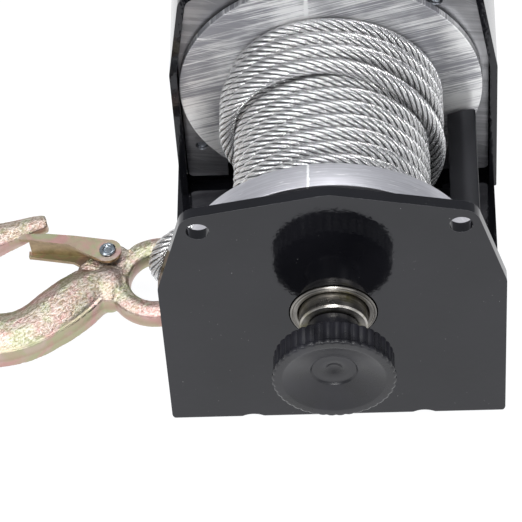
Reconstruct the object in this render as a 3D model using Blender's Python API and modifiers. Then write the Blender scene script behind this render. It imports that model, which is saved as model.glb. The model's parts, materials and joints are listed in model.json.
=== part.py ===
"""Electric boat trailer winch with a wire rope and a safety hook.

X is across the winch, Y runs along the drum axis from the clutch knob to the
motor, Z is up.  The origin is the middle of the base's underside.
"""
import math

import bmesh
import bpy
from mathutils import Matrix, Vector

MM = 0.001

# ---- driving dimensions, in millimetres --------------------------------
FRONT_Y = -85.0        # front face of the upright plate
AXIS_Z = 60.6          # drum axis above the base's underside
HALF_W = 60.0          # half width of frame
SHEET = 4.0            # frame sheet thickness
SHOULDER_Z = 76.1      # where the plate's sides start to lean in
CORNER_X = 49.5
CORNER_Z = 113.8
PEAK_Z = 124.5
BASE_LEN = 172.0
GAP = 0.3

BUSH_R = 15.0
SHAFT_R = 11.9
BORE_R = 12.2
FLANGE_F_R = 52.0
FLANGE_R_R = 55.5
BARREL_R = 19.5
PACK_LOW_R = 35.4
PACK_HIGH_R = 40.9
ROPE_R = 3.0
CLAMP_X = -28.4        # screw that holds the rope's inner end
CLAMP_Z = AXIS_Z - 39.6

HOUSING_X = 1.15       # the housing sits a little to the right
HOUSING_HALF_W = 59.65
HOUSING_SHOULDER_Z = 72.0
HOUSING_CORNER_X = 53.5
HOUSING_Y0 = 101.5     # distances below are behind the front face
HOUSING_Y1 = 150.0
HOUSING_WALL = 2.7
PLATE_Y0 = 107.0
PLATE_Y1 = 110.5

IDLER_X = -27.6
IDLER_Z = AXIS_Z + 27.6
MOTOR_X = -0.6
MOTOR_Z = AXIS_Z + 27.6
MOTOR_R = 31.0

DRUM_TEETH = 40
PINION_TEETH = 12
IDLER_TEETH = 42
MOTOR_TEETH = 12
MODULE_SLOW = 1.5
MODULE_FAST = 1.0

KNOB_R = 20.8
KNOB_LIP_R = 21.3
KNOB_FACE = -29.1
KNOB_FLUTES = 40

EYE = (-64.9, 51.3)    # plan position of the hook's eye
EYE_R = 14.8
RIVET = (-83.5, 63.2)
TILT_DEG = 4.04        # how far the hook's eye is lifted
TILT_X = -150.0
TILT_Z = 8.7
LOOP_TIP = (-66.3, 57.5)
LOOP_DEG = 10.0

SLOTS = {
    "black_powder_coat": ((0.022, 0.022, 0.025), 0.0, 0.2),
    "raw_steel": ((0.42, 0.42, 0.43), 1.0, 0.38),
    "dark_steel": ((0.2, 0.185, 0.17), 1.0, 0.35),
    "galvanised_rope": ((0.55, 0.56, 0.57), 1.0, 0.4),
    "zinc_plate": ((0.6, 0.6, 0.62), 1.0, 0.32),
    "yellow_zinc": ((0.62, 0.5, 0.36), 1.0, 0.3),
    "black_plastic": ((0.03, 0.03, 0.034), 0.0, 0.42),
    "gear_steel": ((0.3, 0.29, 0.28), 1.0, 0.4),
    "bronze": ((0.45, 0.3, 0.14), 1.0, 0.35),
    "aluminium": ((0.7, 0.71, 0.72), 1.0, 0.4),
    "magnet": ((0.06, 0.06, 0.065), 0.0, 0.6),
    "copper": ((0.62, 0.3, 0.16), 1.0, 0.35),
}


# ---- scene and helpers -------------------------------------------------
def clear_scene():
    for ob in list(bpy.data.objects):
        bpy.data.objects.remove(ob, do_unlink=True)


def collection(name):
    col = bpy.data.collections.new(name)
    bpy.context.scene.collection.children.link(col)
    return col


def material(slot):
    mat = bpy.data.materials.get(slot)
    if mat:
        return mat
    color, metallic, rough = SLOTS[slot]
    mat = bpy.data.materials.new(slot)
    mat.use_nodes = True
    bsdf = mat.node_tree.nodes["Principled BSDF"]
    bsdf.inputs["Base Color"].default_value = (*color, 1.0)
    bsdf.inputs["Metallic"].default_value = metallic
    bsdf.inputs["Roughness"].default_value = rough
    return mat


def add_object(name, data, slot, col):
    ob = bpy.data.objects.new(name, data)
    col.objects.link(ob)
    if slot:
        data.materials.append(material(slot))
    return ob


def mesh_from(name, bm, slot, col):
    me = bpy.data.meshes.new(name)
    bmesh.ops.recalc_face_normals(bm, faces=bm.faces)
    bm.to_mesh(me)
    bm.free()
    return add_object(name, me, slot, col)


def set_origin(ob, point):
    """Puts an unrotated object's origin on a joint axis."""
    shift = Vector(point) * MM - ob.location
    ob.data.transform(Matrix.Translation(-shift))
    ob.location = ob.location + shift


def prism(name, points, axis, lo, hi, slot, col):
    """Closed outline extruded from lo to hi along axis Y or Z."""
    bm = bmesh.new()
    verts = []
    for u, v in points:
        co = (u, lo, v) if axis == "Y" else (u, v, lo)
        verts.append(bm.verts.new(Vector(co) * MM))
    face = bm.faces.new(verts)
    out = bmesh.ops.extrude_face_region(bm, geom=[face])
    moved = [g for g in out["geom"] if isinstance(g, bmesh.types.BMVert)]
    step = (hi - lo) * MM
    vec = (0, step, 0) if axis == "Y" else (0, 0, step)
    bmesh.ops.translate(bm, verts=moved, vec=vec)
    return mesh_from(name, bm, slot, col)


def box(name, lo, hi, slot, col):
    pts = [(lo[0], lo[1]), (hi[0], lo[1]), (hi[0], hi[1]), (lo[0], hi[1])]
    return prism(name, pts, "Z", lo[2], hi[2], slot, col)


def turned(name, profile, at, slot, col, segs=48, axis="Y", closed=False):
    """Profile of (radius, height) pairs, top to bottom, spun round an axis."""
    me = bpy.data.meshes.new(name)
    verts = [(r * MM, 0.0, h * MM) for r, h in profile]
    edges = [(i, i + 1) for i in range(len(verts) - 1)]
    if closed:
        edges.append((len(verts) - 1, 0))
    edges = [(a, b) for a, b in edges if profile[a][0] > 0 or profile[b][0] > 0]
    me.from_pydata(verts, edges, [])
    ob = add_object(name, me, slot, col)
    mod = ob.modifiers.new("Screw", "SCREW")
    mod.axis = "Z"
    mod.steps = segs
    mod.render_steps = segs
    mod.use_merge_vertices = True
    mod.merge_threshold = 0.00005
    ob.location = Vector(at) * MM
    if axis == "Y":
        ob.rotation_euler = (-math.pi / 2, 0, 0)
    return ob


def rod(name, r, lo, hi, at, slot, col, segs=32, axis="Y"):
    prof = [(0, hi), (r, hi), (r, lo), (0, lo)]
    return turned(name, prof, at, slot, col, segs, axis)


def tube(name, r_out, r_in, lo, hi, at, slot, col, segs=48, axis="Y"):
    prof = [(r_in, hi), (r_out, hi), (r_out, lo), (r_in, lo)]
    return turned(name, prof, at, slot, col, segs, axis, True)


def boolean(ob, cutter, operation="DIFFERENCE"):
    mod = ob.modifiers.new(cutter.name, "BOOLEAN")
    mod.operation = operation
    mod.solver = "EXACT"
    mod.object = cutter
    return mod


def as_cutter(ob):
    ob.hide_render = True
    ob.display_type = "WIRE"
    return ob


def bake(ob):
    """Replaces an object's data with its evaluated mesh."""
    deps = bpy.context.evaluated_depsgraph_get()
    me = bpy.data.meshes.new_from_object(ob.evaluated_get(deps))
    new = bpy.data.objects.new(ob.name, me)
    new.matrix_world = ob.matrix_world
    col = ob.users_collection[0]
    name = ob.name
    bpy.data.objects.remove(ob, do_unlink=True)
    new.name = name
    col.objects.link(new)
    bm = bmesh.new()
    bm.from_mesh(me)
    bmesh.ops.remove_doubles(bm, verts=bm.verts, dist=0.00002)
    bmesh.ops.recalc_face_normals(bm, faces=bm.faces)
    bm.to_mesh(me)
    bm.free()
    return new


def inset(points, d):
    """Moves each side of a convex outline inwards by d."""
    out = []
    n = len(points)
    for i in range(n):
        a = Vector(points[i - 1])
        b = Vector(points[i])
        c = Vector(points[(i + 1) % n])
        e1 = (b - a).normalized()
        e2 = (c - b).normalized()
        n1 = Vector((-e1.y, e1.x))
        n2 = Vector((-e2.y, e2.x))
        bis = (n1 + n2) / (1.0 + n1.dot(n2))
        out.append(tuple(b + bis * d))
    return out


def rounded(points, radii, steps=5):
    """Replaces each corner of an outline with an arc."""
    out = []
    n = len(points)
    for i in range(n):
        r = radii[i]
        b = Vector(points[i])
        if r <= 0:
            out.append(tuple(b))
            continue
        u = (Vector(points[i - 1]) - b).normalized()
        v = (Vector(points[(i + 1) % n]) - b).normalized()
        half = u.angle(v) / 2
        centre = b + (u + v).normalized() * (r / math.sin(half))
        start = b + u * (r / math.tan(half)) - centre
        end = b + v * (r / math.tan(half)) - centre
        turn = start.angle_signed(end)
        for k in range(steps + 1):
            ang = -turn * k / steps
            ca = math.cos(ang)
            sa = math.sin(ang)
            p = Vector((start.x * ca - start.y * sa, start.x * sa + start.y * ca))
            out.append(tuple(centre + p))
    return out


def wire(name, points, radius, slot, col, bevel=2, radii=None):
    """Round wire through the given points, with filled ends."""
    cu = bpy.data.curves.new(name, "CURVE")
    cu.dimensions = "3D"
    cu.bevel_depth = radius * MM
    cu.bevel_resolution = bevel
    cu.use_fill_caps = True
    sp = cu.splines.new("POLY")
    sp.points.add(len(points) - 1)
    for i, p in enumerate(points):
        sp.points[i].co = (*(Vector(p) * MM), 1.0)
        sp.points[i].radius = radii[i] if radii else 1.0
    ob = add_object(name, cu, slot, col)
    return bake(ob)


def smooth_path(points, spacing):
    """Catmull-Rom curve through the points, sampled at an even spacing."""
    pts = [Vector(p) for p in points]
    pts = [2 * pts[0] - pts[1]] + pts + [2 * pts[-1] - pts[-2]]
    dense = []
    for i in range(1, len(pts) - 2):
        p0, p1, p2, p3 = pts[i - 1:i + 3]
        for k in range(20):
            t = k / 20
            a = 2 * p1 + (p2 - p0) * t
            b = (2 * p0 - 5 * p1 + 4 * p2 - p3) * t * t
            c = (3 * p1 - p0 - 3 * p2 + p3) * t * t * t
            dense.append((a + b + c) * 0.5)
    dense.append(pts[-2])
    lengths = [0.0]
    for a, b in zip(dense, dense[1:]):
        lengths.append(lengths[-1] + (b - a).length)
    count = max(2, round(lengths[-1] / spacing))
    out = []
    j = 0
    for k in range(count + 1):
        want = lengths[-1] * k / count
        while j < len(lengths) - 2 and lengths[j + 1] < want:
            j += 1
        part = lengths[j + 1] - lengths[j]
        f = (want - lengths[j]) / part if part > 0 else 0.0
        out.append(tuple(dense[j].lerp(dense[j + 1], min(1.0, f))))
    return out


def shade(ob, degrees=35):
    if ob.type == "MESH":
        for poly in ob.data.polygons:
            poly.use_smooth = True
        ob.data.set_sharp_from_angle(angle=math.radians(degrees))


# ---- frame -------------------------------------------------------------
def plate_outline(bottom):
    return [
        (-HALF_W, bottom),
        (HALF_W, bottom),
        (HALF_W, SHOULDER_Z),
        (CORNER_X, CORNER_Z),
        (0.0, PEAK_Z),
        (-CORNER_X, CORNER_Z),
        (-HALF_W, SHOULDER_Z),
    ]


def make_frame(parts, cutters):
    """One folded sheet: upright front plate and base."""
    y0 = FRONT_Y
    y1 = FRONT_Y + BASE_LEN
    side = [
        (y0, 0.0),
        (y1, 0.0),
        (y1, SHEET),
        (y0 + SHEET, SHEET),
        (y0 + SHEET, 130.0),
        (y0, 130.0),
    ]
    side = rounded(side, [0.6, 0, 0, 0.8, 0, 0], 3)
    bm = bmesh.new()
    verts = [bm.verts.new(Vector((-70.0, y, z)) * MM) for y, z in side]
    face = bm.faces.new(verts)
    out = bmesh.ops.extrude_face_region(bm, geom=[face])
    moved = [g for g in out["geom"] if isinstance(g, bmesh.types.BMVert)]
    bmesh.ops.translate(bm, verts=moved, vec=(140.0 * MM, 0, 0))
    frame = mesh_from("folded_frame", bm, "black_powder_coat", parts)
    outline = rounded(plate_outline(-0.5), [3.0, 3.0, 8, 7, 14, 7, 8], 5)
    trim = as_cutter(prism("frame_trim", outline, "Y", y0 - 5, y1 + 5, None, cutters))
    boolean(frame, trim, "INTERSECT")
    for i, (x, z, r) in enumerate([(0, AXIS_Z, 15.5), (-44.3, 107.0, 4.0), (44.3, 107.0, 4.0)]):
        hole = rod(f"frame_hole_{i}", r, -3, 8, (x, y0, z), None, cutters, 40 if i == 0 else 24)
        boolean(frame, as_cutter(hole))
    slots = [(-30.8, 2.0, 30.0), (30.8, 2.0, 30.0), (-30.8, 155.0, 168.0), (30.8, 155.0, 168.0)]
    for i, (x, a, b) in enumerate(slots):
        pts = [(x - 3.75, y0 + a), (x + 3.75, y0 + a), (x + 3.75, y0 + b), (x - 3.75, y0 + b)]
        pts = rounded(pts, [3.7, 3.7, 3.7, 3.7], 5)
        cut = prism(f"frame_slot_{i}", pts, "Z", -3, 8, None, cutters)
        boolean(frame, as_cutter(cut))
    for i, x in enumerate((-30.8, 30.8)):
        notch = rod(f"foot_notch_{i}", NOTCH_R, -3, 3, (x, y0, NOTCH_H - NOTCH_R), None, cutters, 48)
        boolean(frame, as_cutter(notch))
    for i, (x, y) in enumerate(base_screw_places()):
        prof = [(0, 6), (2.4, 6), (2.4, 2.3), (4.9, -0.2), (4.9, -1), (0, -1)]
        cut = turned(f"frame_csk_{i}", prof, (x, y0 + y, 0), None, cutters, 20, "Z")
        boolean(frame, as_cutter(cut))
    for i, y in enumerate(GUARD_SCREW_Y):
        cut = rod(f"frame_guard_hole_{i}", 2.4, -2, 7, (GUARD_SCREW_X, y0 + y, 0), None, cutters, 20, "Z")
        boolean(frame, as_cutter(cut))


NOTCH_R = 7.1          # shallow dip in the plate's foot at each front slot
NOTCH_H = 1.6
GUARD_SCREW_X = 40.0
GUARD_SCREW_Y = (48.0, 84.0)


def base_screw_places():
    return [(-51.0, 119.0), (51.0, 119.0), (-51.0, 138.0), (51.0, 138.0)]


def make_bushes(parts):
    tube("front_bush", BUSH_R, BORE_R, -0.8, 7.0, (0, FRONT_Y, AXIS_Z), "dark_steel", parts, 56)
    tube("rear_bush", BUSH_R, BORE_R, PLATE_Y0 - 0.4, PLATE_Y1 + 0.8,
         (0, FRONT_Y, AXIS_Z), "bronze", parts, 48)


def housing_outline(bottom):
    pts = [
        (-HOUSING_HALF_W, bottom),
        (HOUSING_HALF_W, bottom),
        (HOUSING_HALF_W, HOUSING_SHOULDER_Z),
        (HOUSING_CORNER_X, CORNER_Z),
        (0.0, PEAK_Z + 0.8),
        (-HOUSING_CORNER_X, CORNER_Z),
        (-HOUSING_HALF_W, HOUSING_SHOULDER_Z),
    ]
    return [(x + HOUSING_X, z) for x, z in pts]


def make_gear_plate(parts, cutters):
    """Upright steel plate that carries the drum's far end and the gears."""
    pts = inset(housing_outline(8.4), HOUSING_WALL + GAP)
    pts[0] = (pts[0][0], 8.4)
    pts[1] = (pts[1][0], 8.4)
    radii = [2.0, 2.0, 8, 5, 10, 5, 8]
    plate = prism("gear_plate", rounded(pts, radii, 4), "Y", PLATE_Y0, PLATE_Y1, "raw_steel", parts)
    plate.location.y = FRONT_Y * MM
    relief = [(-40.5, 0.0), (40.5, 0.0), (40.5, 22.0), (-40.5, 22.0)]
    relief = rounded(relief, [0, 0, 7, 7], 5)
    cut = as_cutter(prism("plate_relief", relief, "Y", 100, 116, None, cutters))
    cut.location.y = FRONT_Y * MM
    boolean(plate, cut)
    holes = [(0, AXIS_Z, BUSH_R + GAP, 40), (IDLER_X, IDLER_Z, 4.3, 24)]
    holes += [(x, z, 2.3, 16) for x, z in STANDOFFS]
    for i, (x, z, r, segs) in enumerate(holes):
        hole = rod(f"plate_hole_{i}", r, 100, 116, (x, FRONT_Y, z), None, cutters, segs)
        boolean(plate, as_cutter(hole))


STANDOFFS = [(-49.5, 26.0), (50.0, 26.0), (-49.5, 68.0), (39.0, 102.0)]


def make_housing(parts, cutters):
    """Black gear housing, open to the front and closed below by the base."""
    outer = housing_outline(SHEET + GAP)
    radii = [0.8, 0.8, 9, 8, 15, 8, 9]
    shell = prism("gear_housing", rounded(outer, radii, 5), "Y", HOUSING_Y0, HOUSING_Y1,
                  "black_powder_coat", parts)
    shell.location.y = FRONT_Y * MM
    inner = inset(outer, HOUSING_WALL)
    inner[0] = (inner[0][0], -3.0)
    inner[1] = (inner[1][0], -3.0)
    radii = [0, 0, 6, 5, 11, 5, 6]
    cut = prism("housing_hollow", rounded(inner, radii, 5), "Y", HOUSING_Y0 - 4,
                HOUSING_Y1 - HOUSING_WALL, None, cutters)
    cut.location.y = FRONT_Y * MM
    boolean(shell, as_cutter(cut))
    for i, s in enumerate((-1, 1)):
        side = HOUSING_X + s * (HOUSING_HALF_W - 1.0)
        lo = (min(s * 45, side), FRONT_Y + 112.5, SHEET + GAP + 0.3)
        hi = (max(s * 45, side), FRONT_Y + 148.0, 8.6)
        foot = as_cutter(box(f"housing_foot_{i}", lo, hi, None, cutters))
        boolean(shell, foot, "UNION")
    for i, (x, y) in enumerate(base_screw_places()):
        cut = rod(f"foot_hole_{i}", 2.4, 0, 12, (x, FRONT_Y + y, 0), None, cutters, 20, "Z")
        boolean(shell, as_cutter(cut))
    holes = [(x, z, 2.3, 16) for x, z in STANDOFFS]
    holes += [(0, AXIS_Z, 7.3, 28), (IDLER_X, IDLER_Z, 4.3, 24), (MOTOR_X, MOTOR_Z, 6.0, 24)]
    holes += [(x, z, 2.3, 16) for x, z in MOTOR_SCREWS]
    for i, (x, z, r, segs) in enumerate(holes):
        cut = rod(f"housing_hole_{i}", r, 144, 153, (x, FRONT_Y, z), None, cutters, segs)
        boolean(shell, as_cutter(cut))


MOTOR_SCREWS = [(MOTOR_X - 20.0, MOTOR_Z - 9.0), (MOTOR_X + 20.0, MOTOR_Z + 9.0)]


def make_housing_hardware(parts):
    """Spacers, screws and the two fixed axles inside the housing."""
    for i, (x, z) in enumerate(STANDOFFS):
        tube(f"standoff_{i + 1}", 4.0, 2.3, PLATE_Y1 + GAP, HOUSING_Y1 - HOUSING_WALL - GAP,
             (x, FRONT_Y, z), "zinc_plate", parts, 18)
        prof = [(0, 154.0), (3.0, 154.0), (4.0, 153.0), (4.0, 150.3), (2.0, 150.3),
                (2.0, 108.0), (0, 108.0)]
        turned(f"housing_screw_{i + 1}", prof, (x, FRONT_Y, z), "zinc_plate", parts, 16)
    for i, (x, y) in enumerate(base_screw_places()):
        prof = [(0, 10.5), (2.1, 10.5), (2.1, 2.35), (4.4, 0.1), (0, 0.1)]
        turned(f"base_screw_{i + 1}", prof, (x, FRONT_Y + y, 0), "zinc_plate", parts, 16, "Z")
    rod("gear_axle", 7.0, 121.3, 149.6, (0, FRONT_Y, AXIS_Z), "gear_steel", parts, 28)
    rod("idler_axle", 4.0, 107.4, 149.6, (IDLER_X, FRONT_Y, IDLER_Z), "gear_steel", parts, 24)


def make_guard(parts, cutters):
    """Bent sheet keeper that stops the rope falling off the drum's side."""
    t = 2.6
    x1 = 52.7
    zt = AXIS_Z - 8.8
    pts = [
        (30.0, SHEET + GAP),
        (x1, SHEET + GAP),
        (x1, zt),
        (47.8, zt + 0.1),
        (42.2, zt - 2.6),
        (43.1, zt - 2.6 - t),
        (47.4, zt - t - 0.3),
        (x1 - t, zt - t - 0.3),
        (x1 - t, SHEET + GAP + t),
        (30.0, SHEET + GAP + t),
    ]
    pts = rounded(pts, [0, 3.2, 0.8, 6, 0, 0, 3, 0.8, 0.8, 0], 3)
    guard = prism("rope_guard", pts, "Y", 33.0, 99.0, "black_powder_coat", parts)
    guard.location.y = FRONT_Y * MM
    for i, y in enumerate(GUARD_SCREW_Y):
        cut = rod(f"guard_hole_{i}", 2.4, 1, 12, (GUARD_SCREW_X, FRONT_Y + y, 0), None, cutters, 20, "Z")
        boolean(guard, as_cutter(cut))
        prof = [(0, 10.0), (2.8, 10.0), (4.2, 8.6), (4.2, 7.3), (2.1, 7.3), (2.1, 0.6), (0, 0.6)]
        turned(f"guard_screw_{i + 1}", prof, (GUARD_SCREW_X, FRONT_Y + y, 0), "zinc_plate", parts, 18, "Z")


# ---- drum --------------------------------------------------------------
def make_drum(parts, cutters):
    at = (0, FRONT_Y, AXIS_Z)
    prof = [(8.0, 112.0), (SHAFT_R, 112.0), (SHAFT_R, -5.8), (11.3, -6.4), (4.7, -6.4),
            (4.7, 61.7), (6.9, 61.7), (6.9, 96.0), (8.0, 96.0)]
    shaft = turned("drum_shaft", prof, at, "dark_steel", parts, 40, closed=True)
    hexcut = as_cutter(hex_bar("shaft_hex", 7.35, 95.6, 113.0, None, cutters))
    boolean(shaft, hexcut)
    tube("drum_barrel", BARREL_R, BORE_R, 24.3, 102.7, at, "raw_steel", parts, 48)
    edge = 0.7
    for name, r, lo, hi in (("front_flange", FLANGE_F_R, 14.0, 24.0),
                            ("rear_flange", FLANGE_R_R, 103.0, 106.0)):
        prof = [(BORE_R, hi), (r - edge, hi), (r, hi - edge), (r, lo + edge), (r - edge, lo), (BORE_R, lo)]
        flange = turned(name, prof, at, "raw_steel", parts, 56, closed=True)
        if name == "rear_flange":
            cut = rod("clamp_hole", 2.8, 101, 108, (CLAMP_X, FRONT_Y, CLAMP_Z), None, cutters, 18)
            boolean(flange, as_cutter(cut))
    prof = [(0, 105.5), (2.4, 105.5), (2.4, 102.7), (4.6, 102.7), (4.6, 100.6), (3.6, 99.6), (0, 99.6)]
    turned("rope_clamp_screw", prof, (CLAMP_X, FRONT_Y, CLAMP_Z), "zinc_plate", parts, 18)
    prof = [
        (BARREL_R + GAP, 102.5),
        (PACK_HIGH_R, 102.5),
        (PACK_HIGH_R, 79.5),
        (PACK_LOW_R, 76.5),
        (PACK_LOW_R, 24.6),
        (BARREL_R + GAP, 24.6),
    ]
    turned("rope_pack", prof, at, "galvanised_rope", parts, 48, closed=True)


def gear_points(teeth, module, phase, thick=0.44):
    """Outline of a spur gear with straight-sided teeth."""
    r = teeth * module / 2
    ro = r + 0.82 * module
    ri = r - 1.1 * module
    step = 2 * math.pi / teeth
    pts = []
    for i in range(teeth):
        mid = phase + i * step
        for rad, w in ((ri, -0.36 - 0.02), (ro, -0.13), (ro, 0.13), (ri, 0.36 + 0.02)):
            ang = mid + w * step * thick / 0.5
            pts.append((rad * math.cos(ang), rad * math.sin(ang)))
    return pts


def gear(name, teeth, module, phase, lo, hi, x, z, bore, parts, cutters, segs=24):
    pts = gear_points(teeth, module, phase)
    ob = prism(name, pts, "Y", lo, hi, "gear_steel", parts)
    ob.location = Vector((x, FRONT_Y, z)) * MM
    if bore:
        cut = rod(name + "_bore", bore, lo - 2, hi + 2, (x, FRONT_Y, z), None, cutters, segs)
        boolean(ob, as_cutter(cut))
    return ob


def hex_bar(name, inradius, lo, hi, slot, col):
    rad = inradius / math.cos(math.pi / 6)
    pts = []
    for i in range(6):
        ang = math.pi / 6 + i * math.pi / 3
        pts.append((rad * math.cos(ang), rad * math.sin(ang)))
    ob = prism(name, pts, "Y", lo, hi, slot, col)
    ob.location = Vector((0, FRONT_Y, AXIS_Z)) * MM
    return ob


def make_gears(parts, cutters):
    """Two spur stages, drawn in mesh along each line of centres."""
    to_idler = math.atan2(IDLER_Z - AXIS_Z, IDLER_X)
    step_p = 2 * math.pi / PINION_TEETH
    step_m = 2 * math.pi / MOTOR_TEETH
    big = gear("drum_gear", DRUM_TEETH, MODULE_SLOW, to_idler, 113.0, 121.0, 0, AXIS_Z,
               None, parts, cutters)
    hub = as_cutter(rod("gear_hub", 12.0, 118.0, 135.0, (0, FRONT_Y, AXIS_Z), None, cutters, 40))
    boolean(big, hub, "UNION")
    boolean(big, as_cutter(hex_bar("gear_hex", 7.35, 110.0, 121.15, None, cutters)))
    bore = rod("gear_round", 7.3, 121.1, 138.0, (0, FRONT_Y, AXIS_Z), None, cutters, 28)
    boolean(big, as_cutter(bore))
    gear("idler_pinion", PINION_TEETH, MODULE_SLOW, to_idler + math.pi + step_p / 2, 112.6, 121.4,
         IDLER_X, IDLER_Z, 4.3, parts, cutters)
    gear("idler_gear", IDLER_TEETH, MODULE_FAST, 0.0, 126.0, 132.0, IDLER_X, IDLER_Z,
         4.3, parts, cutters)
    tube("idler_sleeve", 6.4, 4.3, 121.7, 125.7, (IDLER_X, FRONT_Y, IDLER_Z), "gear_steel", parts, 24)
    gear("motor_pinion", MOTOR_TEETH, MODULE_FAST, math.pi + step_m / 2, 125.0, 133.0,
         MOTOR_X, MOTOR_Z, 2.8, parts, cutters, 20)


# ---- clutch ------------------------------------------------------------
def make_clutch(parts, cutters):
    """Pull knob, rod, hexagonal dog and return spring."""
    at = (0, FRONT_Y, AXIS_Z)
    f = KNOB_FACE
    prof = [
        (4.3, -6.8),
        (9.0, -6.8),
        (9.0, f + 11.0),
        (18.0, f + 10.6),
        (KNOB_R, f + 9.2),
        (KNOB_R, f + 2.4),
        (KNOB_LIP_R, f + 1.7),
        (KNOB_LIP_R, f + 0.5),
        (KNOB_R, f),
        (18.2, f),
        (13.0, f + 2.4),
        (8.2, f + 4.0),
        (7.6, f + 4.5),
        (3.0, f + 4.5),
        (2.0, f + 5.4),
        (0.0, f + 5.6),
        (0.0, f + 8.0),
        (4.3, f + 8.0),
    ]
    knob = turned("clutch_knob", prof, at, "black_plastic", parts, 48, closed=True)
    knob = bake(knob)
    for i in range(KNOB_FLUTES):
        ang = 2 * math.pi * i / KNOB_FLUTES
        x = (KNOB_R + 0.35) * math.cos(ang)
        z = AXIS_Z + (KNOB_R + 0.35) * math.sin(ang)
        cut = rod(f"flute_{i}", 0.75, f - 2, f + 12.0, (x, FRONT_Y, z), None, cutters, 4)
        boolean(knob, as_cutter(cut))
    rod("clutch_rod", 4.0, f + 8.3, 104.0, at, "dark_steel", parts, 28)
    dog = hex_bar("clutch_dog", 7.0, 104.3, 120.8, "gear_steel", parts)
    dog.name = "clutch_dog"
    turns = 5
    per = 12
    pts = []
    for k in range(turns * per + 1):
        ang = 2 * math.pi * k / per
        y = 62.8 + (103.2 - 62.8) * k / (turns * per)
        pts.append((5.5 * math.cos(ang), FRONT_Y + y, AXIS_Z + 5.5 * math.sin(ang)))
    spring = wire("clutch_spring", pts, 0.7, "zinc_plate", parts, 1)
    set_origin(spring, at)


# ---- motor -------------------------------------------------------------
def make_motor(parts, cutters):
    at = (MOTOR_X, FRONT_Y, MOTOR_Z)
    prof = [(28.2, 226.0), (MOTOR_R, 226.0), (MOTOR_R, 151.3), (MOTOR_R - 1, 150.3), (5.0, 150.3),
            (5.0, 155.3), (28.2, 155.3)]
    can = turned("motor_can", prof, at, "black_powder_coat", parts, 40, closed=True)
    for i, (x, z) in enumerate(MOTOR_SCREWS):
        cut = rod(f"can_hole_{i}", 2.3, 148, 158, (x, FRONT_Y, z), None, cutters, 16)
        boolean(can, as_cutter(cut))
        prof = [(0, 154.8), (2.0, 154.8), (2.0, 146.2), (3.8, 146.2), (3.8, 143.4), (0, 143.4)]
        turned(f"motor_screw_{i + 1}", prof, (x, FRONT_Y, z), "zinc_plate", parts, 16)
    prof = [(0, 236.0), (12.0, 236.0), (14.0, 234.5), (14.0, 232.6), (MOTOR_R - 2.5, 232.0),
            (MOTOR_R, 229.8), (MOTOR_R, 226.3), (27.9, 226.3), (27.9, 224.0), (26.0, 224.0),
            (26.0, 228.0), (3.4, 228.0), (3.4, 232.0), (0, 232.0)]
    cap = turned("motor_end_cap", prof, at, "black_plastic", parts, 40)
    for i, s in enumerate((-1, 1)):
        x = MOTOR_X + s * 20.0
        z = MOTOR_Z - 3.0
        cut = rod(f"cap_hole_{i}", 2.8, 222, 238, (x, FRONT_Y, z), None, cutters, 16)
        boolean(cap, as_cutter(cut))
        prof = [(0, 245.0), (2.5, 245.0), (2.5, 224.5), (0, 224.5)]
        turned(f"terminal_stud_{i + 1}", prof, (x, FRONT_Y, z), "copper", parts, 16)
        nut = hex_nut(f"terminal_nut_{i + 1}", 4.6, 2.8, 233.0, 237.0, x, z, "zinc_plate", parts, cutters)
        nut.location.y = FRONT_Y * MM
    prof = [(0, 231.6), (3.0, 231.6), (3.0, 218.0), (2.5, 218.0), (2.5, 124.6), (0, 124.6)]
    turned("motor_shaft", prof, at, "gear_steel", parts, 20)
    prof = [(3.3, 214.0), (17.0, 214.0), (21.0, 209.0), (21.0, 171.0), (17.0, 166.0), (3.3, 166.0)]
    turned("motor_armature", prof, at, "copper", parts, 32, closed=True)
    for i, mid in enumerate((0.0, math.pi)):
        pts = []
        for k in range(11):
            ang = mid - 1.1 + 2.2 * k / 10
            pts.append((27.9 * math.cos(ang), 27.9 * math.sin(ang)))
        for k in range(11):
            ang = mid + 1.1 - 2.2 * k / 10
            pts.append((23.0 * math.cos(ang), 23.0 * math.sin(ang)))
        magnet = prism(f"motor_magnet_{i + 1}", pts, "Y", 168.0, 212.0, "magnet", parts)
        magnet.location = Vector(at) * MM


def hex_nut(name, inradius, bore, lo, hi, x, z, slot, parts, cutters):
    rad = inradius / math.cos(math.pi / 6)
    pts = []
    for i in range(6):
        ang = i * math.pi / 3
        pts.append((rad * math.cos(ang), rad * math.sin(ang)))
    nut = prism(name, pts, "Y", lo, hi, slot, parts)
    nut.location = Vector((x, FRONT_Y, z)) * MM
    cut = rod(name + "_bore", bore, lo - 2, hi + 2, (x, FRONT_Y, z), None, cutters, 16)
    boolean(nut, as_cutter(cut))
    return nut


# ---- free rope and hook ------------------------------------------------
ROPE_ROUTE = [
    (27.4, 71.5, 33.2),
    (22.0, 71.3, 27.9),
    (16.4, 70.9, 22.6),
    (10.4, 70.3, 18.3),
    (4.4, 69.5, 15.1),
    (-1.6, 68.7, 13.0),
    (-6.2, 68.0, 12.0),
    (-9.6, 67.5, 11.6),
]

LOOP_SIDE = [
    (35.6, 8.3),
    (33.8, 8.3),
    (30.0, 8.0),
    (25.0, 7.4),
    (18.0, 7.2),
    (12.0, 7.2),
    (7.0, 7.4),
    (3.4, 8.6),
    (1.2, 11.4),
    (0.3, 14.8),
    (0.2, 18.4),
    (1.6, 23.6),
    (4.4, 28.2),
    (8.6, 31.6),
    (13.0, 32.8),
    (17.6, 31.6),
    (22.0, 28.0),
    (26.0, 22.8),
    (29.0, 18.2),
    (31.6, 15.5),
    (33.9, 14.8),
    (35.6, 14.8),
]


def along_loop(s, z, side=0.0):
    a = math.radians(LOOP_DEG)
    x = LOOP_TIP[0] + s * math.cos(a) - side * math.sin(a)
    y = LOOP_TIP[1] + s * math.sin(a) + side * math.cos(a)
    return (x, FRONT_Y + y, z)


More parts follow.
